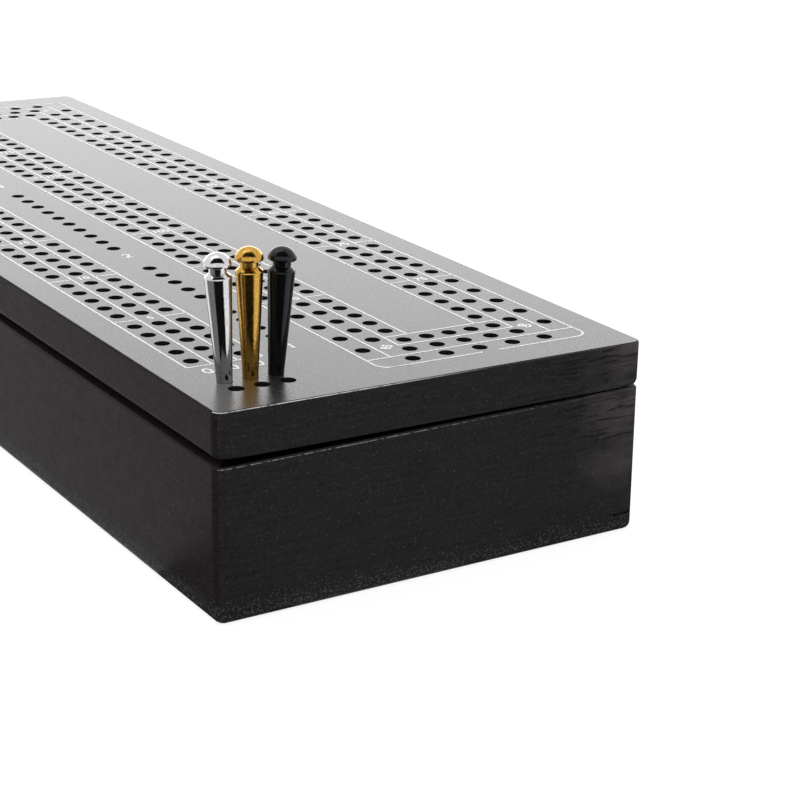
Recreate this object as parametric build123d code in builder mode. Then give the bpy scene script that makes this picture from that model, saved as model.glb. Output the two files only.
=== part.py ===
from build123d import *
from math import atan, cos, degrees, radians, sin, tan
import os

# Cribbage box: a drilled playing board screwed down on a long wooden case, with a drawer for
# cards and pegs that pulls out of the far end. Millimetres, +Z up, origin at the centre of
# the underside. +X is to the right and +Y runs away from the plain near end.

# Driving dimensions: the case
BOX_LENGTH = 288.0
BOX_WIDTH = 95.25
CASE_HEIGHT = 31.0
WALL = 8.0
BOTTOM_THICKNESS = 4.0
CORNER_RADIUS = 2.0
FOOT_ROUND = 1.6
CASE_TOP_BEVEL = 0.4
CLEAT_WIDTH = 5.0
CLEAT_HEIGHT = 8.0

# The board is not seated quite level: its shadow gap is wider at the left side
BOARD_THICKNESS = 9.2
GAP_LEFT = 1.35
GAP_RIGHT = 0.2
BOARD_TOP_BEVEL = 0.4
BOARD_UNDER_ROUND = 1.5  # only along the two long edges

# Peg holes
HOLE_RADIUS = 1.5875
HOLE_DEPTH = 6.35
HOLE_PITCH = 6.35
LANE_PITCH = 5.4
GROUP_SIZE = 5
STRAIGHT_GROUPS = 6
STRAIGHT_START_Y = -80.65
STRAIGHT_PERIOD = 33.64
NEAR_GROUP_Y = -88.9  # the last hole of the groups that run into the near turn
HOME_START_Y = -82.2
HOME_PERIOD = 32.13
HOME_PITCH = 6.05
HOME_NEAR_Y = -90.2
OUTER_STRETCH = 8.7  # hole pitch where an outer or middle lane runs into a turn
MIDDLE_STRETCH = 7.56
HOME_MIDDLE_STRETCH = 7.06
TURN_CENTRE_LANE = 3
NEAR_TURN = ((-132.4, 7.75), (-126.8, 6.35), (-121.2, 5.3))  # row y and hole pitch
FAR_TURN = ((131.05, 7.0), (125.45, 6.2), (119.85, 5.3))
FAR_TURN_GAP = 8.6
START_ROWS_Y = (-133.0, -128.3)
COUNTER_LANE = -3
COUNTER_SETS_Y = (-107.25, -31.05, 45.15)
COUNTER_HOLES = 10
FINISH_Y = 110.7

# Pegs: z is measured along the peg from the board's surface when it is pushed home
PEG_DEPTH = 6.2
PEG_TIP_RADIUS = 1.2
PEG_SHOULDER_RADIUS = 2.62
PEG_SHOULDER_Z = 20.3
PEG_NECK_RADIUS = 1.7
PEG_CAP_RADIUS = 2.7
PEG_CAP_Z = 22.0
PEG_CAP_BEVEL = 1.3
PEG_TOP_Z = 24.7
PEG_FLATS = 16
PEG_LANES = {"chrome": -7, "gold": -6, "black": -5}
PEG_LEANS = {"chrome": -2.6, "gold": 0.0, "black": 3.3}  # degrees, to the right or the left
PEG_LIFTS = {"chrome": 0.0, "gold": 0.5, "black": 0.0}  # gold is not pushed quite home
LEAN_HEADING = -32.0  # the direction in plan in which the pegs lean, from +X

# Drawer
FRONT_THICKNESS = 10.0
FRONT_CLEARANCE = 0.2
FRONT_BOTTOM_Z = 0.6
FRONT_TOP_Z = 30.5
DRAWER_SIDE = 5.0
DRAWER_BOTTOM = 2.5
DRAWER_LIFT = 0.2
SIDE_CLEARANCE = 0.4
BACK_CLEARANCE = 2.0
GROOVE_DEPTH = 2.5
GROOVE_HEIGHT = 2.2
DIVIDER = 4.0
DIVIDER_HEIGHT = 12.0
TRAY_LENGTH = 46.0
TRAY_HEIGHT = 9.0
TRAY_GROOVES = 6
TRAY_GROOVE_PITCH = 10.8
TRAY_GROOVE_RADIUS = 2.9
TRAY_GROOVE_LENGTH = 36.0
FINGER_RADIUS = 10.0
FINGER_DEPTH = 5.0

# Hardware
SCREW_RADIUS = 1.1
SCREW_HEAD_RADIUS = 2.1
SCREW_HEAD_HEIGHT = 1.2
SCREW_COUNTERSINK = 45  # degrees from the axis
SCREW_BITE = 4.5
SCREW_SLIP = 0.02
SCREW_ROWS_Y = (-84.8, 83.4)
KNOB_RADIUS = 6.5
KNOB_LENGTH = 13.0
KNOB_STEM_RADIUS = 4.0
KNOB_BEVEL = 2.0
KNOB_SCREW_RADIUS = 1.5
KNOB_SCREW_HEAD = 2.8
KNOB_SCREW_REACH = 8.0
KNOB_SCREW_SINK = 1.5  # its head lies in a counterbore inside the drawer front

# Derived sizes and planes
HALF_LENGTH = BOX_LENGTH / 2
HALF_WIDTH = BOX_WIDTH / 2
INNER_HALF = HALF_WIDTH - WALL
FAR_WALL_Y = HALF_LENGTH - FRONT_THICKNESS
NEAR_INSIDE_Y = WALL - HALF_LENGTH
TILT = atan((GAP_LEFT - GAP_RIGHT) / BOX_WIDTH)
BOARD_UNDER_Z = CASE_HEIGHT + (GAP_LEFT + GAP_RIGHT) / 2
BOARD_NORMAL = Vector(sin(TILT), 0, cos(TILT))
BOARD_TOP = Plane(
    origin=Vector(0, 0, BOARD_UNDER_Z) + BOARD_NORMAL * BOARD_THICKNESS,
    x_dir=(cos(TILT), 0, -sin(TILT)),
    z_dir=BOARD_NORMAL,
)
BOARD_UNDER = BOARD_TOP.offset(-BOARD_THICKNESS)
CLEAT_X = INNER_HALF - CLEAT_WIDTH / 2
CLEAT_BOTTOM_Z = CASE_HEIGHT - CLEAT_HEIGHT
DRAWER_HALF = INNER_HALF - SIDE_CLEARANCE
DRAWER_INNER = DRAWER_HALF - DRAWER_SIDE
DRAWER_LOW_Z = BOTTOM_THICKNESS + DRAWER_LIFT
DRAWER_HIGH_Z = CLEAT_BOTTOM_Z - SIDE_CLEARANCE
FLOOR_LOW_Z = DRAWER_LOW_Z + GROOVE_HEIGHT
FLOOR_Z = FLOOR_LOW_Z + DRAWER_BOTTOM
FRONT_INSIDE_Y = FAR_WALL_Y + FRONT_CLEARANCE
DRAWER_BACK_Y = NEAR_INSIDE_Y + BACK_CLEARANCE
TRAY_NEAR_Y = FRONT_INSIDE_Y - TRAY_LENGTH
TRAY_TOP_Z = FLOOR_Z + TRAY_HEIGHT
KNOB_Z = (FRONT_BOTTOM_Z + FRONT_TOP_Z) / 2
TAPER = atan((PEG_SHOULDER_RADIUS - PEG_TIP_RADIUS) / (PEG_SHOULDER_Z + PEG_DEPTH))


def run(lane, start, pitch, count=GROUP_SIZE):
    """Holes along one lane, from start on by pitch."""
    return [(lane * LANE_PITCH, start + pitch * i) for i in range(count)]


def row(y, pitch, centre=0.0, count=GROUP_SIZE):
    """Holes across the board, centred on centre."""
    return [(centre + pitch * (i - (count - 1) / 2), y) for i in range(count)]


def straight_holes():
    """The two outer straights, three lanes each side, stretched into the turns."""
    holes = []
    stretches = {5: HOLE_PITCH, 6: MIDDLE_STRETCH, 7: OUTER_STRETCH}
    for lane, stretch in stretches.items():
        for side in (-1, 1):
            near = stretch if side > 0 else HOLE_PITCH
            holes += run(side * lane, NEAR_GROUP_Y, -near)
            for k in range(STRAIGHT_GROUPS):
                last = k == STRAIGHT_GROUPS - 1
                start = STRAIGHT_START_Y + k * STRAIGHT_PERIOD
                holes += run(side * lane, start, stretch if last else HOLE_PITCH)
    return holes


def home_holes():
    """The three middle lanes, up to the single finishing hole."""
    holes = run(1, HOME_NEAR_Y, -HOME_PITCH)
    holes += run(0, HOME_NEAR_Y, -HOME_MIDDLE_STRETCH)
    holes += run(-1, NEAR_GROUP_Y, -OUTER_STRETCH)
    for lane in (-1, 0, 1):
        for k in range(STRAIGHT_GROUPS):
            holes += run(lane, HOME_START_Y + k * HOME_PERIOD, HOME_PITCH)
    return holes + [(0, FINISH_Y)]


def turn_holes():
    """The rows that carry the lanes across the near and the far end."""
    holes = []
    for y, pitch in NEAR_TURN:
        holes += row(y, pitch, TURN_CENTRE_LANE * LANE_PITCH)
    for y, pitch in FAR_TURN:
        middle = FAR_TURN_GAP / 2 + pitch * (GROUP_SIZE - 1) / 2
        holes += row(y, pitch, middle) + row(y, pitch, -middle)
    return holes


def counter_holes():
    """One column that keeps the tally of games, a set for each player."""
    holes = []
    for start in COUNTER_SETS_Y:
        holes += run(COUNTER_LANE, start, HOLE_PITCH, COUNTER_HOLES)
    return holes


def start_holes():
    """Two holes for each player before the first group."""
    return [(lane * LANE_PITCH, y) for lane in PEG_LANES.values() for y in START_ROWS_Y]


def board_screw_places():
    return [(side * CLEAT_X, y) for side in (-1, 1) for y in SCREW_ROWS_Y]


def make_screw(x, y, slip=0.0):
    """A countersunk wood screw, or the hole for it, upward from the underside of a cleat."""
    head, shank = SCREW_HEAD_RADIUS + slip, SCREW_RADIUS + slip
    with BuildPart() as screw:
        with BuildSketch(Plane((x, y, CLEAT_BOTTOM_Z))):
            Circle(head)
        extrude(amount=head - shank, taper=SCREW_COUNTERSINK)
        with BuildSketch(Plane((x, y, CLEAT_BOTTOM_Z))):
            Circle(shank)
        extrude(amount=CASE_HEIGHT + SCREW_BITE - CLEAT_BOTTOM_Z)
    return screw.part


def make_cleat(side):
    """A strip against the left (-1) or right (+1) wall: carries the board, planed to its slope."""
    inside, outside = side * (INNER_HALF - CLEAT_WIDTH), side * INNER_HALF
    with BuildPart() as cleat:
        with BuildSketch(Plane.XZ.offset(-NEAR_INSIDE_Y)):
            with BuildLine():
                Polyline(
                    (outside, CLEAT_BOTTOM_Z),
                    (inside, CLEAT_BOTTOM_Z),
                    (inside, BOARD_UNDER_Z - inside * tan(TILT)),
                    (outside, BOARD_UNDER_Z - outside * tan(TILT)),
                    close=True,
                )
            make_face()
        extrude(amount=NEAR_INSIDE_Y - FAR_WALL_Y)
        for y in SCREW_ROWS_Y:
            add(make_screw(side * CLEAT_X, y, SCREW_SLIP), mode=Mode.SUBTRACT)
    return cleat


def place_peg(plane):
    """A peg whose axis is the plane's z and whose tip is PEG_DEPTH below the plane."""
    with BuildPart() as placed:
        with Locations(plane):
            add(peg.part)
    return placed


def standing_plane(colour):
    """The plane of a peg in play: in its start hole, leaning a little."""
    at = BOARD_TOP.from_local_coords((PEG_LANES[colour] * LANE_PITCH, START_ROWS_Y[1], 0))
    lean = tan(radians(PEG_LEANS[colour]))
    heading = radians(LEAN_HEADING)
    up = Vector(lean * cos(heading), lean * sin(heading), 1).normalized()
    return Plane(at + up * PEG_LIFTS[colour], x_dir=up.cross(Vector(0, -1, 0)), z_dir=up)


def lying_plane(index):
    """The plane of a spare peg that lies on its taper in a groove of the tray."""
    x = TRAY_GROOVE_PITCH * (index - (TRAY_GROOVES - 1) / 2)
    rest = PEG_TIP_RADIUS + PEG_DEPTH * tan(TAPER)
    z = TRAY_TOP_Z - TRAY_GROOVE_RADIUS + rest / cos(TAPER) + SCREW_SLIP
    y = TRAY_NEAR_Y + TRAY_LENGTH / 2 - (PEG_TOP_Z - PEG_DEPTH) / 2
    return Plane((x, y, z), x_dir=(1, 0, 0), z_dir=(0, cos(TAPER), sin(TAPER)))


# The board: a strip moulded along its long under edges, cut to length, its corners rounded.
# Its blind holes are drawn six-sided, because there are so many.
with BuildPart() as board:
    with BuildSketch(BOARD_UNDER):
        RectangleRounded(BOX_WIDTH, BOX_LENGTH, CORNER_RADIUS)
    extrude(amount=BOARD_THICKNESS)
    section = Plane(BOARD_UNDER.origin, x_dir=BOARD_UNDER.x_dir, z_dir=(0, -1, 0))
    with BuildSketch(section):
        strip = Rectangle(BOX_WIDTH, BOARD_THICKNESS, align=(Align.CENTER, Align.MIN))
        fillet(strip.vertices().group_by(Axis.Y)[0], BOARD_UNDER_ROUND)
    extrude(amount=HALF_LENGTH, both=True, mode=Mode.INTERSECT)
    chamfer(board.faces().sort_by(Axis.Z)[-1].edges(), BOARD_TOP_BEVEL)
    with BuildSketch(BOARD_TOP):
        with Locations(
            *straight_holes(), *home_holes(), *turn_holes(), *counter_holes(), *start_holes()
        ):
            RegularPolygon(HOLE_RADIUS, 6, major_radius=False)
    extrude(amount=-HOLE_DEPTH, mode=Mode.SUBTRACT)
    with BuildSketch(Plane.XY.offset(CASE_HEIGHT)):
        with Locations(*board_screw_places()):
            Circle(SCREW_RADIUS + SCREW_SLIP)
    extrude(amount=SCREW_BITE, mode=Mode.SUBTRACT)

# The case: three mitred walls on a bottom panel, open at the far end
with BuildPart() as wall_left:
    with BuildSketch(Plane.XY.offset(BOTTOM_THICKNESS)):
        with BuildLine():
            corner_x = CORNER_RADIUS - HALF_WIDTH
            corner_y = CORNER_RADIUS - HALF_LENGTH
            corner = CenterArc((corner_x, corner_y), CORNER_RADIUS, 180, 45)
            Polyline(
                corner @ 1,
                (-INNER_HALF, NEAR_INSIDE_Y),
                (-INNER_HALF, FAR_WALL_Y),
                (-HALF_WIDTH, FAR_WALL_Y),
                corner @ 0,
            )
        make_face()
    extrude(amount=CASE_HEIGHT - BOTTOM_THICKNESS)
    top_edges = wall_left.edges().group_by(Axis.Z)[-1]
    chamfer(top_edges.filter_by(lambda edge: edge.center().X < -HALF_WIDTH + WALL / 4), CASE_TOP_BEVEL)

with BuildPart() as wall_right:
    mirror(wall_left.part, about=Plane.YZ)

with BuildPart() as wall_near:
    with BuildSketch(Plane.XY.offset(BOTTOM_THICKNESS)):
        with BuildLine():
            left_arc = CenterArc((corner_x, corner_y), CORNER_RADIUS, 225, 45)
            right_arc = CenterArc((-corner_x, corner_y), CORNER_RADIUS, 270, 45)
            Line(left_arc @ 1, right_arc @ 0)
            Polyline(
                right_arc @ 1,
                (INNER_HALF, NEAR_INSIDE_Y),
                (-INNER_HALF, NEAR_INSIDE_Y),
                left_arc @ 0,
            )
        make_face()
    extrude(amount=CASE_HEIGHT - BOTTOM_THICKNESS)
    top_edges = wall_near.edges().group_by(Axis.Z)[-1]
    chamfer(top_edges.filter_by(lambda edge: edge.center().Y < -HALF_LENGTH + WALL / 4), CASE_TOP_BEVEL)

with BuildPart() as bottom_panel:
    with BuildSketch():
        RectangleRounded(BOX_WIDTH, BOX_LENGTH, CORNER_RADIUS)
        with Locations((0, FAR_WALL_Y)):
            Rectangle(BOX_WIDTH, BOX_LENGTH, align=(Align.CENTER, Align.MIN), mode=Mode.SUBTRACT)
    extrude(amount=BOTTOM_THICKNESS)
    foot_edges = bottom_panel.edges().group_by(Axis.Z)[0]
    fillet(foot_edges.filter_by(lambda edge: edge.center().Y < FAR_WALL_Y - 1), FOOT_ROUND)

cleat_left = make_cleat(-1)
cleat_right = make_cleat(1)

with BuildPart() as board_screws:
    for x, y in board_screw_places():
        add(make_screw(x, y))

# The drawer: front, grooved sides, back above the bottom, a divider and a peg tray
with BuildPart() as drawer_front:
    with BuildSketch(Plane.XY.offset(FRONT_BOTTOM_Z)):
        RectangleRounded(BOX_WIDTH, BOX_LENGTH, CORNER_RADIUS)
        with Locations((0, FRONT_INSIDE_Y)):
            Rectangle(BOX_WIDTH, BOX_LENGTH, align=(Align.CENTER, Align.MAX), mode=Mode.SUBTRACT)
    extrude(amount=FRONT_TOP_Z - FRONT_BOTTOM_Z)
    outer = drawer_front.edges().filter_by(lambda edge: edge.center().Y > FRONT_INSIDE_Y + 1)
    fillet(outer.group_by(Axis.Z)[0], FOOT_ROUND)
    outer = drawer_front.edges().filter_by(lambda edge: edge.center().Y > FRONT_INSIDE_Y + 1)
    chamfer(outer.group_by(Axis.Z)[-1], CASE_TOP_BEVEL)
    with BuildSketch(Plane.XZ.offset(-HALF_LENGTH)):
        with Locations((0, KNOB_Z)):
            Circle(KNOB_SCREW_RADIUS + SCREW_SLIP)
    extrude(amount=FRONT_THICKNESS, mode=Mode.SUBTRACT)
    with BuildSketch(Plane.XZ.offset(-FRONT_INSIDE_Y)):
        with Locations((0, KNOB_Z)):
            Circle(KNOB_SCREW_HEAD + SIDE_CLEARANCE)
    extrude(amount=-KNOB_SCREW_SINK, mode=Mode.SUBTRACT)

with BuildPart() as drawer_side_left:
    with BuildSketch(Plane.XZ.offset(-FRONT_INSIDE_Y)):
        with Locations((-DRAWER_HALF, DRAWER_LOW_Z)):
            Rectangle(DRAWER_SIDE, DRAWER_HIGH_Z - DRAWER_LOW_Z, align=(Align.MIN, Align.MIN))
        with Locations((-DRAWER_INNER, FLOOR_LOW_Z)):
            Rectangle(GROOVE_DEPTH, DRAWER_BOTTOM, align=(Align.MAX, Align.MIN), mode=Mode.SUBTRACT)
    extrude(amount=FRONT_INSIDE_Y - DRAWER_BACK_Y)

with BuildPart() as drawer_side_right:
    mirror(drawer_side_left.part, about=Plane.YZ)

with BuildPart() as drawer_bottom:
    with BuildSketch(Plane.XY.offset(FLOOR_LOW_Z)):
        with Locations((0, DRAWER_BACK_Y)):
            Rectangle(
                2 * (DRAWER_INNER + GROOVE_DEPTH - DRAWER_LIFT),
                FRONT_INSIDE_Y - DRAWER_BACK_Y,
                align=(Align.CENTER, Align.MIN),
            )
    extrude(amount=DRAWER_BOTTOM)

with BuildPart() as drawer_back:
    with BuildSketch(Plane.XY.offset(FLOOR_Z)):
        with Locations((0, DRAWER_BACK_Y)):
            Rectangle(2 * DRAWER_INNER, DRAWER_SIDE, align=(Align.CENTER, Align.MIN))
    extrude(amount=DRAWER_HIGH_Z - FLOOR_Z)

with BuildPart() as drawer_divider:
    with BuildSketch(Plane.XY.offset(FLOOR_Z)):
        with Locations((0, (DRAWER_BACK_Y + DRAWER_SIDE + TRAY_NEAR_Y) / 2)):
            Rectangle(2 * DRAWER_INNER, DIVIDER)
    extrude(amount=DIVIDER_HEIGHT)

with BuildPart() as peg_tray:
    with BuildSketch(Plane.XY.offset(FLOOR_Z)):
        with Locations((0, TRAY_NEAR_Y)):
            Rectangle(2 * DRAWER_INNER, TRAY_LENGTH, align=(Align.CENTER, Align.MIN))
    extrude(amount=TRAY_HEIGHT)
    tray_middle_y = TRAY_NEAR_Y + TRAY_LENGTH / 2
    with BuildSketch(Plane.XZ.offset(-tray_middle_y)):
        with Locations((0, TRAY_TOP_Z)):
            with GridLocations(TRAY_GROOVE_PITCH, 0, TRAY_GROOVES, 1):
                Circle(TRAY_GROOVE_RADIUS)
    extrude(amount=TRAY_GROOVE_LENGTH / 2, both=True, mode=Mode.SUBTRACT)
    with BuildSketch(Plane.YZ):
        with Locations((tray_middle_y, TRAY_TOP_Z + FINGER_RADIUS - FINGER_DEPTH)):
            Circle(FINGER_RADIUS)
    extrude(amount=TRAY_GROOVE_PITCH * TRAY_GROOVES / 2, both=True, mode=Mode.SUBTRACT)

with BuildPart() as knob:
    with BuildSketch(Plane.XZ.offset(-HALF_LENGTH)):
        with Locations((0, KNOB_Z)):
            Circle(KNOB_STEM_RADIUS)
    extrude(amount=-KNOB_LENGTH / 2)
    with BuildSketch(Plane.XZ.offset(-HALF_LENGTH - KNOB_LENGTH / 2)):
        with Locations((0, KNOB_Z)):
            Circle(KNOB_RADIUS)
    extrude(amount=-KNOB_LENGTH / 2)
    chamfer(knob.edges().group_by(Axis.Y)[-1], KNOB_BEVEL)
    with BuildSketch(Plane.XZ.offset(-HALF_LENGTH)):
        with Locations((0, KNOB_Z)):
            Circle(KNOB_SCREW_RADIUS + SCREW_SLIP)
    extrude(amount=-KNOB_SCREW_REACH, mode=Mode.SUBTRACT)

with BuildPart() as knob_screw:
    seat = Plane.XZ.offset(-FRONT_INSIDE_Y - KNOB_SCREW_SINK)
    with BuildSketch(seat):
        with Locations((0, KNOB_Z)):
            Circle(KNOB_SCREW_RADIUS)
    extrude(amount=-(HALF_LENGTH - FRONT_INSIDE_Y - KNOB_SCREW_SINK + KNOB_SCREW_REACH - 1))
    with BuildSketch(seat):
        with Locations((0, KNOB_Z)):
            Circle(KNOB_SCREW_HEAD)
    extrude(amount=SCREW_HEAD_HEIGHT)

# One peg: a tapered shank, drawn with flats because six pegs repeat it, a neck and a bevelled cap
with BuildPart() as peg:
    with BuildSketch(Plane.XY.offset(PEG_SHOULDER_Z)):
        RegularPolygon(PEG_SHOULDER_RADIUS, PEG_FLATS)
    extrude(amount=-PEG_SHOULDER_Z - PEG_DEPTH)
    flats = peg.faces().filter_by(lambda face: abs(face.normal_at().Z) < 0.5)
    draft(flats, Plane.XY.offset(PEG_SHOULDER_Z), -degrees(TAPER))
    with BuildSketch(Plane.XY.offset(PEG_SHOULDER_Z)):
        Circle(PEG_NECK_RADIUS)
    extrude(amount=PEG_CAP_Z - PEG_SHOULDER_Z)
    with BuildSketch(Plane.XY.offset(PEG_CAP_Z)):
        Circle(PEG_CAP_RADIUS)
    extrude(amount=PEG_TOP_Z - PEG_CAP_Z)
    chamfer(peg.edges().group_by(Axis.Z)[-1], PEG_CAP_BEVEL)

pieces = {
    "board": board,
    "wall_left": wall_left,
    "wall_right": wall_right,
    "wall_near": wall_near,
    "bottom_panel": bottom_panel,
    "cleat_left": cleat_left,
    "cleat_right": cleat_right,
    "board_screws": board_screws,
    "drawer_front": drawer_front,
    "drawer_side_left": drawer_side_left,
    "drawer_side_right": drawer_side_right,
    "drawer_back": drawer_back,
    "drawer_bottom": drawer_bottom,
    "drawer_divider": drawer_divider,
    "peg_tray": peg_tray,
    "knob": knob,
    "knob_screw": knob_screw,
}
for index, colour in enumerate(PEG_LANES):
    pieces["peg_" + colour] = place_peg(standing_plane(colour))
    pieces["spare_peg_" + colour] = place_peg(lying_plane(2 * index))

os.makedirs("parts", exist_ok=True)
for name, piece in pieces.items():
    piece.part.label = name
    export_step(piece.part, "parts/" + name + ".step")
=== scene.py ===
import math
import bmesh
import bpy
from mathutils import Matrix, Vector


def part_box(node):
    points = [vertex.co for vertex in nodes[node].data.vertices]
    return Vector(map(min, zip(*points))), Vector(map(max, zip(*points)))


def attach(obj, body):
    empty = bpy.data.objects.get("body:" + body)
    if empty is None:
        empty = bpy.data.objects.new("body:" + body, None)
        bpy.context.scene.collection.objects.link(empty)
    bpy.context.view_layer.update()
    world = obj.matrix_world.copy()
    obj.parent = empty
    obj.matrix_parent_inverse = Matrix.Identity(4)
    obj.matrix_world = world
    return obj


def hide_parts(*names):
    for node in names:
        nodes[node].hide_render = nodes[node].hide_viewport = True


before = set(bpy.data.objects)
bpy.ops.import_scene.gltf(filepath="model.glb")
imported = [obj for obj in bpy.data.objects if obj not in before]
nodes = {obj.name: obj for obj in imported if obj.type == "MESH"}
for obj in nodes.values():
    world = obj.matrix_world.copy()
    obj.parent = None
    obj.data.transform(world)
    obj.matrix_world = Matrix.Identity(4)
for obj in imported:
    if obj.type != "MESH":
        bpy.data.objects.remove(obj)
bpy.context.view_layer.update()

# A black lacquered cribbage box. Metres throughout. The board is made flat with its top at
# z = 0, then set on boardPlane, because it lies a little askew on its case.
board = {
    "width": 0.09525,
    "length": 0.288,
    "thickness": 0.0092,
    "cornerRadius": 0.002,
    "topRound": 0.0004,
    "underRound": 0.0015,  # along the long sides, fading out round the corners
    "endRound": 0.2,  # how much of it is left in the middle of each end
    "fadeFrom": 0.0385,
    "endCuts": (-0.0425, -0.0395, 0.0395, 0.0425),  # they let the ends' rounding fade
    "middleHeight": 0.031775,  # of its underside
    "slope": math.atan(1.15 / 95.25),
    "holeRadius": 0.0015875,
    "holeDepth": 0.00635,
    "drillPoint": 0.0009,
    "holeSides": 24,
    "holePitch": 0.00635,
    "lane": 0.0054,
}
layout = {
    "groups": 6,
    "straightStart": -0.08065,
    "straightPeriod": 0.03364,
    "nearGroup": -0.0889,
    "homeStart": -0.0822,
    "homePeriod": 0.03213,
    "homePitch": 0.00605,
    "homeNear": -0.0902,
    "outerPitch": 0.0087,
    "middlePitch": 0.00756,
    "homeMiddlePitch": 0.00706,
    "nearTurn": ((-0.1324, 0.00775), (-0.1268, 0.00635), (-0.1212, 0.0053)),
    "farTurn": ((0.13105, 0.007), (0.12545, 0.0062), (0.11985, 0.0053)),
    "farTurnGap": 0.0086,
    "turnCentreLane": 3,
    "startLanes": (-7, -6, -5),
    "startRows": (-0.133, -0.1283),
    "counterLane": -3,
    "counterHoles": 10,
    "counterSets": (-0.10725, -0.03105, 0.04515),
    "finish": 0.1107,
}
boardPlane = (
    Matrix.Translation((0, 0, board["middleHeight"]))
    @ Matrix.Rotation(board["slope"], 4, "Y")
    @ Matrix.Translation((0, 0, board["thickness"]))
)


def addPiece(name, bm, materials, body, replaced=(), smoothAngle=30):
    for face in bm.faces:
        face.smooth = smoothAngle > 0
    for edge in bm.edges:
        edge.smooth = edge.smooth and edge.calc_face_angle(math.pi) < math.radians(smoothAngle)
    mesh = bpy.data.meshes.new(name)
    bm.to_mesh(mesh)
    bm.free()
    piece = bpy.data.objects.new(name, mesh)
    bpy.context.collection.objects.link(piece)
    for material in materials:
        mesh.materials.append(material)
    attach(piece, body)
    if replaced:
        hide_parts(*replaced)
    return piece


def newMaterial(name):
    material = bpy.data.materials.new(name)
    material.use_nodes = True
    tree = material.node_tree
    return material, tree, tree.nodes["Principled BSDF"]


def node(tree, kind, **settings):
    made = tree.nodes.new(kind)
    for key, value in settings.items():
        if key in made.inputs:
            made.inputs[key].default_value = value
        else:
            setattr(made, key, value)
    return made


def objectPoint(tree, scale=(1, 1, 1), offset=(0, 0, 0)):
    point = node(tree, "ShaderNodeTexCoord")
    mapping = node(tree, "ShaderNodeMapping", Scale=scale, Location=offset)
    tree.links.new(point.outputs["Object"], mapping.inputs["Vector"])
    return mapping.outputs["Vector"]


def noise(tree, scale, detail=2.0, roughness=0.5, stretch=(1, 1, 1), offset=(0, 0, 0)):
    made = node(tree, "ShaderNodeTexNoise", Scale=scale, Detail=detail, Roughness=roughness)
    tree.links.new(objectPoint(tree, stretch, offset), made.inputs["Vector"])
    return made.outputs["Fac"]


def remap(tree, value, low, high, toLow=0.0, toHigh=1.0):
    made = node(tree, "ShaderNodeMapRange")
    made.inputs["From Min"].default_value = low
    made.inputs["From Max"].default_value = high
    made.inputs["To Min"].default_value = toLow
    made.inputs["To Max"].default_value = toHigh
    tree.links.new(value, made.inputs["Value"])
    return made.outputs["Result"]


def combine(tree, operation, first, second):
    made = node(tree, "ShaderNodeMath", operation=operation)
    for socket, value in zip(made.inputs, (first, second)):
        if isinstance(value, (int, float)):
            socket.default_value = value
        else:
            tree.links.new(value, socket)
    return made.outputs["Value"]


def blendColour(tree, factor, first, second):
    made = node(tree, "ShaderNodeMix", data_type="RGBA")
    inputs = [s for s in made.inputs if s.type == "RGBA"]
    for socket, value in zip(inputs, (first, second)):
        if isinstance(value, tuple):
            socket.default_value = (*value, 1)
        else:
            tree.links.new(value, socket)
    tree.links.new(factor, made.inputs["Factor"])
    return [s for s in made.outputs if s.type == "RGBA"][0]


def bump(tree, shader, height, strength, distance):
    made = node(tree, "ShaderNodeBump", Strength=strength, Distance=distance)
    tree.links.new(height, made.inputs["Height"])
    tree.links.new(made.outputs["Normal"], shader.inputs["Normal"])


lacquer = {
    "black": (0.040, 0.0395, 0.040),
    "reddish": (0.034, 0.0265, 0.0272),
    # lighter brownish colour at the top right of the near end: a brownish tone with a painted reflection
    "brownAndReflection": (0.165, 0.138, 0.140),
    "dark": (0.003, 0.003, 0.003),
    "dust": (0.24, 0.235, 0.23),
    # light colour of the line along the near wall's top edge: wear with a painted highlight
    "wearAndHighlight": (0.85, 0.83, 0.80),
    "specular": 0.02,
    "grainShades": (0.72, 1.22),
    "grainDepth": 0.00006,
    "roughness": (0.28, 0.40),
    "brownAndReflectionAcross": (0.031, 0.0475),
    "brownAndReflectionAbove": (0.004, 0.020),
    "crackedAcross": (0.012, 0.036),
    "crackedAbove": (0.016, 0.024),
    "crackDarkness": 0.65,
    "crackGrain": (150, 150, 2300),
    "seam": 0.004,
    "seamHalfWidth": 0.00016,
    "seamFrom": 0.0415,
    "dustBelow": (0.0060, 0.0006),
    "dustCover": 0.5,
    "speckLevel": 0.675,
    "dustLevel": -0.14,
    "wearAndHighlightAcross": (0.03, -0.02),
    "wearAndHighlightCover": (0.1, 0.55),
    "wallTop": 0.03098,
}


def heightAndSide(tree):
    place = node(tree, "ShaderNodeSeparateXYZ")
    tree.links.new(objectPoint(tree), place.inputs["Vector"])
    return place.outputs["Z"], place.outputs["X"]


def within(tree, value, middle, reach):
    made = combine(tree, "COMPARE", value, middle)
    made.node.inputs[2].default_value = reach
    return made


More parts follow.
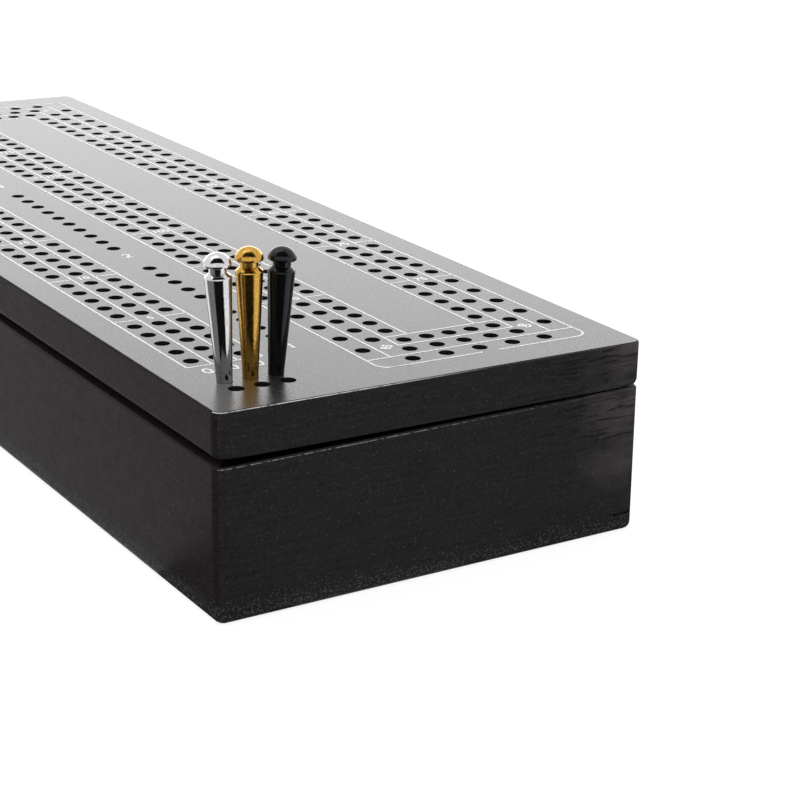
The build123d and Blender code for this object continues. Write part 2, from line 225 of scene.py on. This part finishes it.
def addCracks(tree, colour, height, across):
    # the right side of the near end is browner and lighter higher up, a brownish tone with a painted
    # reflection of the bright floor, with open grain high up and a seam low down
    rightward = remap(tree, across, *lacquer["brownAndReflectionAcross"])
    patches = noise(tree, 90, 3, 0.6, (1, 1, 1.8), (0.9, 0.2, 0.4))
    high = remap(tree, height, *lacquer["brownAndReflectionAbove"])
    brownAndReflectionAmount = combine(tree, "MULTIPLY", rightward, remap(tree, patches, 0.36, 0.62, 0.1, 1))
    brownAndReflectionAmount = combine(tree, "MULTIPLY", brownAndReflectionAmount, high)
    colour = blendColour(tree, brownAndReflectionAmount, colour, lacquer["brownAndReflection"])
    opened = combine(
        tree,
        "MULTIPLY",
        remap(tree, across, *lacquer["crackedAcross"]),
        remap(tree, height, *lacquer["crackedAbove"]),
    )
    lines = noise(tree, 1.0, 2, 0.5, lacquer["crackGrain"], (0.3, 0, 0.1))
    lines = remap(tree, lines, 0.42, 0.37, 0, lacquer["crackDarkness"])
    colour = blendColour(tree, combine(tree, "MULTIPLY", opened, lines), colour, lacquer["dark"])
    seam = within(tree, height, lacquer["seam"], lacquer["seamHalfWidth"])
    seam = combine(tree, "MULTIPLY", seam, combine(tree, "GREATER_THAN", across, lacquer["seamFrom"]))
    return blendColour(tree, seam, colour, lacquer["dark"])


def addDust(tree, colour, height):
    # it has settled along the foot, with a few specks everywhere
    grit = noise(tree, 2300, 2, 0.7)
    lowDown = remap(tree, height, *lacquer["dustBelow"])
    threshold = combine(tree, "MULTIPLY_ADD", lowDown, lacquer["dustLevel"])
    threshold.node.inputs[2].default_value = lacquer["speckLevel"]
    dusty = combine(tree, "MULTIPLY", combine(tree, "GREATER_THAN", grit, threshold), lacquer["dustCover"])
    return blendColour(tree, dusty, colour, lacquer["dust"])


def addWearHighlightAndGapShade(tree, colour, height, across, low, high):
    # a broken light band along the top edge: partly wear, partly painted highlight
    band = within(tree, height, (low + high) / 2, (high - low) / 2)
    broken = remap(tree, noise(tree, 900, 4, 0.75), 0.42, 0.58)
    fade = remap(tree, across, *lacquer["wearAndHighlightAcross"], *lacquer["wearAndHighlightCover"])
    wearAndHighlight = combine(tree, "MULTIPLY", combine(tree, "MULTIPLY", band, broken), fade)
    colour = blendColour(tree, wearAndHighlight, colour, lacquer["wearAndHighlight"])
    # painted shade: above the wall's top edge, in the gap under the board, the colour is painted dark
    paintedGapShade = combine(tree, "GREATER_THAN", height, lacquer["wallTop"])
    return blendColour(tree, paintedGapShade, colour, lacquer["dark"])


def makeSide(name, stretch, base, wearAndHighlightHeights=None, cracked=False):
    material, tree, shader = newMaterial(name)
    shader.inputs["Specular IOR Level"].default_value = lacquer["specular"]
    height, across = heightAndSide(tree)
    streaks = noise(tree, 1.0, 5, 0.65, stretch)
    grain = combine(tree, "MULTIPLY", combine(tree, "ADD", streaks, noise(tree, 1300, 3, 0.65)), 0.5)
    darker, lighter = (tuple(c * shade for c in base) for shade in lacquer["grainShades"])
    colour = blendColour(tree, remap(tree, grain, 0.38, 0.62), darker, lighter)
    if cracked:
        colour = addCracks(tree, colour, height, across)
    colour = addDust(tree, colour, height)
    if wearAndHighlightHeights:
        colour = addWearHighlightAndGapShade(tree, colour, height, across, *wearAndHighlightHeights)
    tree.links.new(colour, shader.inputs["Base Color"])
    sheen = remap(tree, noise(tree, 300, 3, 0.6), 0.3, 0.7, *lacquer["roughness"])
    tree.links.new(sheen, shader.inputs["Roughness"])
    relief = combine(tree, "ADD", grain, combine(tree, "MULTIPLY", noise(tree, 1500, 2, 0.5), 0.5))
    bump(tree, shader, relief, 0.35, lacquer["grainDepth"])
    return material


topFinish = {
    "dark": (0.012, 0.0112, 0.011),
    "light": (0.028, 0.026, 0.025),
    "tint": (1, 0.94, 0.95, 1),
    "grain": (900, 160, 900),
    "roughness": (0.24, 0.34),
    "depth": 0.00004,
    # near-white colour of the front top rounding: bare wood showing through wear, with a painted highlight
    "highlightAndBareWood": (0.86, 0.83, 0.79),
    "edge": (0.03, 0.028, 0.027),
    "wearAndHighlightAcross": (0.012, -0.016),
}


def makeTop():
    material, tree, shader = newMaterial("topLacquer")
    shader.inputs["Specular Tint"].default_value = topFinish["tint"]
    grain = noise(tree, 1.0, 4, 0.6, topFinish["grain"])
    colour = blendColour(tree, remap(tree, grain, 0.3, 0.7), topFinish["dark"], topFinish["light"])
    tree.links.new(colour, shader.inputs["Base Color"])
    fine = noise(tree, 2600, 3, 0.6)
    tree.links.new(remap(tree, fine, 0.3, 0.7, *topFinish["roughness"]), shader.inputs["Roughness"])
    relief = combine(tree, "ADD", combine(tree, "MULTIPLY", grain, 0.6), fine)
    bump(tree, shader, relief, 0.22, topFinish["depth"])
    return material


def makeHighlightAndWearEdge():
    material, tree, shader = newMaterial("highlightAndWearEdge")
    shader.inputs["Specular IOR Level"].default_value = 0.3
    # painted highlight and wear: a broken light line along the front top rounding, stronger towards the
    # left
    fade = remap(tree, heightAndSide(tree)[1], *topFinish["wearAndHighlightAcross"])
    broken = remap(tree, noise(tree, 420, 4, 0.7), 0.38, 0.5, 0.25, 1)
    wearAndHighlight = combine(tree, "MULTIPLY", fade, broken)
    colour = blendColour(tree, wearAndHighlight, topFinish["edge"], topFinish["highlightAndBareWood"])
    tree.links.new(colour, shader.inputs["Base Color"])
    tree.links.new(remap(tree, wearAndHighlight, 0, 1, 0.3, 0.6), shader.inputs["Roughness"])
    return material


wood = {
    "dark": (0.40, 0.24, 0.12),
    "light": (0.66, 0.46, 0.27),
    "ring": (0.50, 0.31, 0.16),
    "depth": 0.00008,
}


def makeWood(name, stretch):
    material, tree, shader = newMaterial(name)
    shader.inputs["Specular IOR Level"].default_value = 0.3
    grain = noise(tree, 1.0, 6, 0.65, stretch)
    rings = noise(tree, 14, 2, 0.5, tuple(1 if s > 100 else 0.15 for s in stretch))
    colour = blendColour(tree, remap(tree, grain, 0.3, 0.72), wood["dark"], wood["light"])
    colour = blendColour(tree, remap(tree, rings, 0.45, 0.65, 0, 0.4), colour, wood["ring"])
    tree.links.new(colour, shader.inputs["Base Color"])
    tree.links.new(remap(tree, grain, 0.2, 0.8, 0.5, 0.75), shader.inputs["Roughness"])
    bump(tree, shader, grain, 0.3, wood["depth"])
    return material


def makeMetal(name, colour, shade, roughness, grainSize, grainDepth, metallic=1.0, specular=0.5):
    material, tree, shader = newMaterial(name)
    shader.inputs["Metallic"].default_value = metallic
    shader.inputs["Specular IOR Level"].default_value = specular
    mottled = noise(tree, grainSize, 4, 0.65)
    mottledColour = blendColour(tree, remap(tree, mottled, 0.35, 0.65), shade, colour)
    tree.links.new(mottledColour, shader.inputs["Base Color"])
    tree.links.new(remap(tree, mottled, 0.3, 0.7, roughness, roughness * 1.8), shader.inputs["Roughness"])
    bump(tree, shader, mottled, grainDepth, 0.00005)
    return material


def makeInk():
    material, tree, shader = newMaterial("whiteInk")
    rubbed = remap(tree, noise(tree, 1100, 4, 0.7), 0.58, 0.74, 0, 0.3)
    colour = blendColour(tree, rubbed, (0.90, 0.89, 0.87), (0.30, 0.29, 0.28))
    tree.links.new(colour, shader.inputs["Base Color"])
    shader.inputs["Roughness"].default_value = 0.3
    return material


alongX, alongY = (80, 500, 1500), (500, 60, 1500)
topLacquer = makeTop()
highlightAndWearEdge = makeHighlightAndWearEdge()
boardSide = makeSide("boardSide", (200, 120, 1100), lacquer["reddish"])
boardEnd = makeSide("boardEnd", (120, 500, 1300), lacquer["black"], cracked=True)
sideLacquer = makeSide("sideLacquer", alongY, lacquer["reddish"])
endLacquer = makeSide("endLacquer", alongX, lacquer["black"], (0.03056, 0.03070), cracked=True)
panelLacquer = makeSide("panelLacquer", alongX, lacquer["black"], cracked=True)
woodAlongY = makeWood("woodAlongY", alongY)
woodAlongX = makeWood("woodAlongX", alongX)
metals = {
    "chrome": makeMetal("chromePlate", (0.72, 0.72, 0.73), (0.56, 0.56, 0.57), 0.07, 2600, 0.2),
    "gold": makeMetal("goldPlate", (0.74, 0.44, 0.10), (0.42, 0.22, 0.035), 0.12, 2600, 0.5),
    "black": makeMetal(
        "blackPlate", (0.008, 0.008, 0.009), (0.005, 0.005, 0.006), 0.12, 1500, 0.15, 0.0, specular=0.3
    ),
}
zinc = makeMetal("zincPlate", (0.62, 0.62, 0.60), (0.45, 0.45, 0.44), 0.25, 1200, 0.2)
whiteInk = makeInk()
print("materials made")

finishes = {
    sideLacquer: ("wall_left", "wall_right"),
    panelLacquer: ("bottom_panel",),
    endLacquer: ("wall_near", "drawer_front"),
    woodAlongY: ("cleat_left", "cleat_right", "drawer_side_left", "drawer_side_right", "drawer_bottom"),
    woodAlongX: ("drawer_back", "drawer_divider", "peg_tray"),
    zinc: ("board_screws", "knob_screw"),
    metals["gold"]: ("knob",),
}
for material, names in finishes.items():
    for name in names:
        for materialSlot in nodes[name].material_slots:
            materialSlot.material = material


def lanePoint(lane, y):
    return Vector((lane * board["lane"], y, 0))


def laneRun(lane, start, pitch, count=5):
    return [lanePoint(lane, start + pitch * i) for i in range(count)]


def turnRow(y, pitch, centre):
    return [Vector((centre + pitch * i, y, 0)) for i in (-2, -1, 0, 1, 2)]


def holePlaces():
    places = []
    for lane, pitch in ((5, board["holePitch"]), (6, layout["middlePitch"]), (7, layout["outerPitch"])):
        places += laneRun(lane, layout["nearGroup"], -pitch)
        places += laneRun(-lane, layout["nearGroup"], -board["holePitch"])
        for side in (-1, 1):
            for k in range(layout["groups"]):
                start = layout["straightStart"] + k * layout["straightPeriod"]
                last = k == layout["groups"] - 1
                places += laneRun(side * lane, start, pitch if last else board["holePitch"])
    places += laneRun(1, layout["homeNear"], -layout["homePitch"])
    places += laneRun(0, layout["homeNear"], -layout["homeMiddlePitch"])
    places += laneRun(-1, layout["nearGroup"], -layout["outerPitch"])
    for lane in (-1, 0, 1):
        for k in range(layout["groups"]):
            places += laneRun(lane, layout["homeStart"] + k * layout["homePeriod"], layout["homePitch"])
    places.append(lanePoint(0, layout["finish"]))
    for y, pitch in layout["nearTurn"]:
        places += turnRow(y, pitch, layout["turnCentreLane"] * board["lane"])
    for y, pitch in layout["farTurn"]:
        middle = layout["farTurnGap"] / 2 + 2 * pitch
        places += turnRow(y, pitch, middle) + turnRow(y, pitch, -middle)
    for start in layout["counterSets"]:
        places += laneRun(layout["counterLane"], start, board["holePitch"], layout["counterHoles"])
    places += [lanePoint(lane, y) for lane in layout["startLanes"] for y in layout["startRows"]]
    return places


def outlineEdges(bm, height):
    bm.normal_update()
    level = [e for e in bm.edges if all(abs(v.co.z - height) < 1e-6 for v in e.verts)]
    return [e for e in level if any(abs(f.normal.z) < 0.5 for f in e.link_faces)]


def fadeUnderRound(bm):
    halfWidth, halfLength = board["width"] / 2, board["length"] / 2
    radius, low = board["cornerRadius"], -board["thickness"]
    for vert in bm.verts:
        x, y, z = vert.co
        if z > low + board["underRound"] + 1e-6 or abs(y) < halfLength - radius - 1e-6:
            continue
        reach = max(0.0, (abs(x) - board["fadeFrom"]) / (halfWidth - board["fadeFrom"]))
        keep = board["endRound"] + (1 - board["endRound"]) * min(reach, 1.0) ** 2
        centreX = math.copysign(min(abs(x), halfWidth - radius), x)
        centre = Vector((centreX, math.copysign(halfLength - radius, y)))
        outward = Vector((x, y)) - centre
        if outward.length < 1e-7:
            continue
        rim = centre + outward.normalized() * (radius - keep * (radius - outward.length))
        vert.co = (rim.x, rim.y, low + keep * (z - low))


def keepFlatsFlat(bm):
    bm.normal_update()
    for edge in bm.edges:
        flat = [max(abs(c) for c in face.normal) > 0.9999 for face in edge.link_faces]
        edge.smooth = all(flat) or not any(flat)


def makeBoard():
    bm = bmesh.new()
    bmesh.ops.create_cube(bm, size=1)
    bmesh.ops.scale(bm, vec=(board["width"], board["length"], board["thickness"]), verts=bm.verts)
    bmesh.ops.translate(bm, vec=(0, 0, -board["thickness"] / 2), verts=bm.verts)
    rounding = {"affect": "EDGES", "profile": 0.5, "material": -1}
    upright = [e for e in bm.edges if abs(e.verts[0].co.z - e.verts[1].co.z) > board["thickness"] / 2]
    bmesh.ops.bevel(bm, geom=upright, offset=board["cornerRadius"], segments=8, **rounding)
    for x in board["endCuts"]:
        everything = bm.verts[:] + bm.edges[:] + bm.faces[:]
        bmesh.ops.bisect_plane(bm, geom=everything, dist=1e-7, plane_co=(x, 0, 0), plane_no=(1, 0, 0))
    bmesh.ops.bevel(bm, geom=outlineEdges(bm, 0), offset=board["topRound"], segments=3, **rounding)
    underside = outlineEdges(bm, -board["thickness"])
    bmesh.ops.bevel(bm, geom=underside, offset=board["underRound"], segments=5, **rounding)
    fadeUnderRound(bm)
    bm.normal_update()
    top = [f for f in bm.faces if f.normal.z > 0.999 and all(v.co.z > -1e-7 for v in f.verts)]
    outline = [e for e in {e for f in top for e in f.edges} if any(f not in top for f in e.link_faces)]
    bmesh.ops.delete(bm, geom=top, context="FACES")
    for face in bm.faces:
        atEnd = abs(face.normal.y) > 0.7
        onEdge = 0.5 < face.normal.z < 0.9 and face.normal.y < -0.1
        face.material_index = 3 if onEdge else 2 if atEnd else 1
    mouths = []
    for place in holePlaces():
        circle = bmesh.ops.create_circle(
            bm, segments=board["holeSides"], radius=board["holeRadius"], matrix=Matrix.Translation(place)
        )
        mouths += {edge for vert in circle["verts"] for edge in vert.link_edges}
    bmesh.ops.triangle_fill(bm, use_beauty=True, edges=outline + mouths, normal=(0, 0, 1))
    walls = bmesh.ops.extrude_edge_only(bm, edges=mouths)["geom"]
    bottomVerts = [v for v in walls if isinstance(v, bmesh.types.BMVert)]
    bmesh.ops.translate(bm, vec=(0, 0, -board["holeDepth"]), verts=bottomVerts)
    lowest = 1e-6 - board["holeDepth"]
    madeEdges = [e for e in walls if isinstance(e, bmesh.types.BMEdge)]
    bottomEdges = [e for e in madeEdges if all(v.co.z < lowest for v in e.verts)]
    floors = bmesh.ops.edgeloop_fill(bm, edges=bottomEdges)["faces"]
    bmesh.ops.recalc_face_normals(bm, faces=bm.faces)
    bmesh.ops.poke(bm, faces=floors, offset=-board["drillPoint"])
    keepFlatsFlat(bm)
    bmesh.ops.transform(bm, matrix=boardPlane, verts=bm.verts)
    finish = [topLacquer, boardSide, boardEnd, highlightAndWearEdge]
    addPiece("drilled_board", bm, finish, "case", ["board"])


makeBoard()
print("board drilled:", len(holePlaces()), "holes")

ink = {
    "lineWidth": 0.00046,
    "thickness": 0.00003,
    "cornerRadius": 0.0029,
    "nearLines": (-0.1354, -0.1298, -0.1240, -0.1183),
    "farLines": (0.1341, 0.12825, 0.12265, 0.1170),
    "leftFoot": -0.1179,
    "homeEnd": 0.1065,
    "crossStraight": -0.0848,
    "crossHome": -0.0859,
    "digitSize": 0.0029,
    "boldness": 0.0001,
    "cornerNumbers": (
        ("80", 6, -0.1244, -45), ("85", 0, -0.124, 45), ("35", -6, 0.1244, -45), ("45", 6, 0.1244, 45),
    ),
    "startNumbers": -0.1215,
    "startSize": 1.5,
    "counterOffset": 0.0075,  # from a set's first hole back to its number
    "counterSize": 1.45,
}


def drawPath(bm, points, corners=()):
    verts = [bm.verts.new(lanePoint(*point)) for point in points]
    for first, second in zip(verts, verts[1:]):
        bm.edges.new((first, second))
    if corners:
        bmesh.ops.bevel(
            bm,
            geom=[verts[i] for i in corners],
            offset=ink["cornerRadius"],
            affect="VERTICES",
            segments=6,
            profile=0.5,
            material=-1,
        )


def makeLines():
    bm = bmesh.new()
    near, far = ink["nearLines"], ink["farLines"]
    foot, homeEnd = ink["leftFoot"], ink["homeEnd"]
    # the outer edge of the track goes round the far turn, down the right side and round the near turn
    drawPath(bm, [(-7.5, foot), (-7.5, far[0]), (7.5, far[0]), (7.5, near[0]), (3.46, near[0])], (1, 2, 3))
    drawPath(bm, [(2.78, near[0]), (-1.5, near[0]), (-1.5, homeEnd)], (1,))
    drawPath(bm, [(-6.5, foot), (-6.5, far[1]), (6.5, far[1]), (6.5, near[1])])
    innerTurn = [(-5.5, foot), (-5.5, far[2]), (5.5, far[2]), (5.5, near[2]), (0.5, near[2])]
    drawPath(bm, innerTurn + [(0.5, homeEnd)])
    drawPath(bm, [(-4.5, foot), (-4.5, far[3]), (4.5, far[3]), (4.5, near[3])])
    drawPath(bm, [(-7.5, foot), (-4.5, foot)])
    drawPath(bm, [(-1.5, near[1]), (7.5, near[1])])
    drawPath(bm, [(0.5, near[3]), (5.5, near[3])])
    drawPath(bm, [(1.5, near[3]), (1.5, homeEnd), (-1.5, homeEnd)])
    drawPath(bm, [(-0.5, near[1]), (-0.5, homeEnd)])
    for k in range(layout["groups"]):
        y = ink["crossStraight"] + k * layout["straightPeriod"]
        for lane in (-7, -5, 5, 7):
            drawPath(bm, [(lane - 0.5, y), (lane + 0.5, y)])
        y = ink["crossHome"] + k * layout["homePeriod"]
        for lane in (-1, 1):
            drawPath(bm, [(lane - 0.5, y), (lane + 0.5, y)])
    raised = bmesh.ops.extrude_edge_only(bm, edges=bm.edges)["geom"]
    bmesh.ops.translate(
        bm, vec=(0, 0, ink["thickness"]), verts=[v for v in raised if isinstance(v, bmesh.types.BMVert)]
    )
    bmesh.ops.transform(bm, matrix=boardPlane, verts=bm.verts)
    lines = addPiece("lane_lines", bm, [whiteInk], "case", smoothAngle=0)
    widen = lines.modifiers.new("widen", "SOLIDIFY")
    widen.thickness = ink["lineWidth"]
    widen.offset = 0
    widen.use_even_offset = True


def stampNumber(bm, text, lane, y, size, turn=0):
    curve = bpy.data.curves.new("number", "FONT")
    curve.body = text
    curve.size = size
    curve.align_x = curve.align_y = "CENTER"
    curve.extrude = ink["thickness"] / 2
    curve.resolution_u = 4
    curve.offset = ink["boldness"]
    written = bpy.data.objects.new("number", curve)
    mesh = bpy.data.meshes.new_from_object(written)
    mesh.transform(Matrix.Translation(lanePoint(lane, y)) @ Matrix.Rotation(math.radians(turn), 4, "Z"))
    bm.from_mesh(mesh)
    bpy.data.meshes.remove(mesh)
    bpy.data.objects.remove(written)
    bpy.data.curves.remove(curve)


def makeNumbers():
    bm = bmesh.new()
    size = ink["digitSize"]
    for k in range(layout["groups"]):
        y = ink["crossStraight"] + k * layout["straightPeriod"]
        stampNumber(bm, str(5 + 5 * k), -6, y, size)
        stampNumber(bm, str(75 - 5 * k), 6, y, size)
        stampNumber(bm, str(90 + 5 * k), 0, ink["crossHome"] + k * layout["homePeriod"], size)
    for text, lane, y, turn in ink["cornerNumbers"]:
        stampNumber(bm, text, lane, y, size, turn)
    for lane in layout["startLanes"]:
        stampNumber(bm, "0", lane, ink["startNumbers"], size * ink["startSize"])
    for index, start in enumerate(layout["counterSets"]):
        y = start - ink["counterOffset"]
        stampNumber(bm, str(index + 1), layout["counterLane"], y, size * ink["counterSize"])
    bmesh.ops.translate(bm, vec=(0, 0, ink["thickness"] / 2), verts=bm.verts)
    bmesh.ops.transform(bm, matrix=boardPlane, verts=bm.verts)
    addPiece("group_numbers", bm, [whiteInk], "case", smoothAngle=0)


makeLines()
makeNumbers()
print("print laid on the board")

peg = {
    "depth": 0.0062,
    "length": 0.0309,
    "sides": 64,
    "tip": 1.2,
    "restingTip": 0.00122,
    "shoulder": (2.62, 20.3),
    "profile": (
        (0.0, -6.2), (0.95, -6.2), (1.2, -5.95), (2.589, 19.85), (2.6, 20.05), (2.56, 20.2),
        (2.46, 20.32), (1.8, 20.9), (1.7, 21.0), (1.7, 21.9), (1.8, 22.02), (2.5, 22.14),
        (2.66, 22.26), (2.7, 22.45), (2.66, 22.85), (2.5, 23.3), (2.2, 23.72), (1.8, 24.1),
        (1.3, 24.41), (0.75, 24.61), (0.3, 24.69), (0.0, 24.7),
    ),
    "lanes": {"chrome": -7, "gold": -6, "black": -5},
    "leans": {"chrome": -2.6, "gold": 0.0, "black": 3.3},
    "lifts": {"chrome": 0.0, "gold": 0.0005, "black": 0.0},
    "leanHeading": -32.0,
}


def makePeg(name, colour, plane, body, replaced):
    bm = bmesh.new()
    verts = [bm.verts.new((x * 0.001, 0, z * 0.001)) for x, z in peg["profile"]]
    edges = [bm.edges.new(pair) for pair in zip(verts, verts[1:])]
    bmesh.ops.spin(
        bm, geom=verts + edges, cent=(0, 0, 0), axis=(0, 0, 1), angle=math.tau,
        steps=peg["sides"], use_merge=True,
    )
    bmesh.ops.remove_doubles(bm, verts=bm.verts, dist=1e-7)
    bmesh.ops.recalc_face_normals(bm, faces=bm.faces)
    bmesh.ops.transform(bm, matrix=plane, verts=bm.verts)
    addPiece(name, bm, [metals[colour]], body, [replaced], 38)


def planeAlong(origin, up):
    return Matrix.Translation(origin) @ up.to_track_quat("Z", "Y").to_matrix().to_4x4()


def standingPlane(colour):
    heading, lean = math.radians(peg["leanHeading"]), math.tan(math.radians(peg["leans"][colour]))
    up = Vector((lean * math.cos(heading), lean * math.sin(heading), 1)).normalized()
    hole = boardPlane @ lanePoint(peg["lanes"][colour], layout["startRows"][1])
    return planeAlong(hole + up * peg["lifts"][colour], up)


def lyingPlane(colour):
    low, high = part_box("spare_peg_" + colour)
    radius, height = peg["shoulder"]
    slope = math.atan((radius - peg["tip"]) / (height + peg["depth"] * 1000))
    up = Vector((0, math.cos(slope), math.sin(slope)))
    run, rise = peg["length"] * math.cos(slope), peg["restingTip"] * math.cos(slope)
    tip = Vector(((low.x + high.x) / 2, high.y - run, low.z + rise))
    return planeAlong(tip + up * peg["depth"], up)


for colour in peg["lanes"]:
    makePeg(colour + "_peg", colour, standingPlane(colour), "peg_" + colour, "peg_" + colour)
    makePeg(colour + "_spare_peg", colour, lyingPlane(colour), "drawer", "spare_peg_" + colour)
print("pegs turned")

studio = {
    "floorSize": 12.0,
    "floorColour": (0.34, 0.34, 0.34),
    "floorGlow": 0.87,
    "worldGlow": 0.55,
    "flagCentre": (-0.035, -0.128),
    "flagReach": 0.4,
    "flagHeight": 0.0006,
    "topFlag": ((-0.9, -0.15, 0.45), (0.5, -0.9, 0.45), (0.10, -0.20, 0.45), (-0.18, -0.05, 0.45)),
    "lens": 95.71,
    "cameraPlace": (-0.2068, -0.46252, 0.16743),
    "cameraTurn": (70.9015, -0.6963, -31.5787),
}


def seenDirectly(tree):
    path = node(tree, "ShaderNodeLightPath")
    seen = combine(tree, "MAXIMUM", path.outputs["Is Camera Ray"], path.outputs["Is Glossy Ray"])
    return combine(tree, "MAXIMUM", seen, path.outputs["Is Transmission Ray"])


def makeFloor():
    bm = bmesh.new()
    bmesh.ops.create_grid(bm, x_segments=4, y_segments=4, size=studio["floorSize"] / 2)
    mesh = bpy.data.meshes.new("floor")
    bm.to_mesh(mesh)
    bm.free()
    floor = bpy.data.objects.new("floor", mesh)
    bpy.context.collection.objects.link(floor)
    material, tree, shader = newMaterial("paleFloor")
    shader.inputs["Base Color"].default_value = (*studio["floorColour"], 1)
    shader.inputs["Roughness"].default_value = 0.9
    shader.inputs["Specular IOR Level"].default_value = 0.0
    shader.inputs["Emission Color"].default_value = (1, 1, 1, 1)
    glow = combine(tree, "MULTIPLY", seenDirectly(tree), studio["floorGlow"])
    tree.links.new(glow, shader.inputs["Emission Strength"])
    mesh.materials.append(material)


def makeWorld():
    world = bpy.data.worlds.new("whiteRoom")
    bpy.context.scene.world = world
    world.use_nodes = True
    tree = world.node_tree
    background = tree.nodes["Background"]
    background.inputs["Color"].default_value = (1, 1, 1, 1)
    strength = node(tree, "ShaderNodeMapRange")
    strength.inputs["To Min"].default_value = studio["worldGlow"]
    strength.inputs["To Max"].default_value = 1.0
    tree.links.new(seenDirectly(tree), strength.inputs["Value"])
    tree.links.new(strength.outputs["Result"], background.inputs["Strength"])


def addFlag(name, corners, shade):
    # only reflections see it: a dark sheet of painted shade, which draws the dark streaks in the polished
    # pegs and darkens what the lacquer reflects
    bm = bmesh.new()
    bm.faces.new([bm.verts.new(corner) for corner in corners])
    mesh = bpy.data.meshes.new(name)
    bm.to_mesh(mesh)
    bm.free()
    flag = bpy.data.objects.new(name, mesh)
    bpy.context.collection.objects.link(flag)
    material, _, shader = newMaterial(name + "Black")
    shader.inputs["Base Color"].default_value = (shade, shade, shade, 1)
    shader.inputs["Roughness"].default_value = 1.0
    shader.inputs["Specular IOR Level"].default_value = 0.0
    mesh.materials.append(material)
    flag.visible_camera = flag.visible_diffuse = flag.visible_shadow = False
    flag.visible_transmission = flag.visible_volume_scatter = False


def addFloorFlag(name, fromAngle, toAngle, shade):
    (x, y), reach, z = studio["flagCentre"], studio["flagReach"], studio["flagHeight"]
    angles = [math.radians(fromAngle + (toAngle - fromAngle) * i / 4) for i in range(5)]
    rim = [(x + reach * math.cos(a), y + reach * math.sin(a), z) for a in angles]
    addFlag(name, [(x, y, z)] + rim, shade)


def addLamp(name, place, aim, size, radiance):
    light = bpy.data.lights.new(name, "AREA")
    light.shape = "RECTANGLE"
    light.size, light.size_y = size
    light.energy = radiance * math.pi * size[0] * size[1]
    lamp = bpy.data.objects.new(name, light)
    bpy.context.collection.objects.link(lamp)
    lamp.location = place
    lamp.rotation_euler = (Vector(aim) - Vector(place)).to_track_quat("-Z", "Y").to_euler()
    lamp.visible_camera = False


def makeCamera():
    data = bpy.data.cameras.new("camera")
    data.lens = studio["lens"]
    data.sensor_width = 36
    data.clip_start, data.clip_end = 0.01, 50
    camera = bpy.data.objects.new("camera", data)
    bpy.context.collection.objects.link(camera)
    camera.location = studio["cameraPlace"]
    camera.rotation_euler = [math.radians(angle) for angle in studio["cameraTurn"]]
    bpy.context.scene.camera = camera


makeFloor()
makeWorld()
addLamp("overhead", (-0.3, 0.1, 1.3), (0, 0, 0), (1.0, 1.0), 0.8)
# dark sheets that only reflections see: painted shade on the floor around the near end and above the pegs
addFloorFlag("leftFlag", 140, 205, 0.3)
addFloorFlag("nearFlag", 205, 284, 0.01)
addFloorFlag("rightFlag", -22, 40, 0.03)
addFlag("topFlag", studio["topFlag"], 0.02)
addLamp("backPanel", (0.80, 1.28, 0.35), (0, 0, 0.04), (3.2, 0.7), 1.6)
makeCamera()
bpy.context.scene.view_settings.view_transform = "Standard"
print("stage, lamps and camera set")
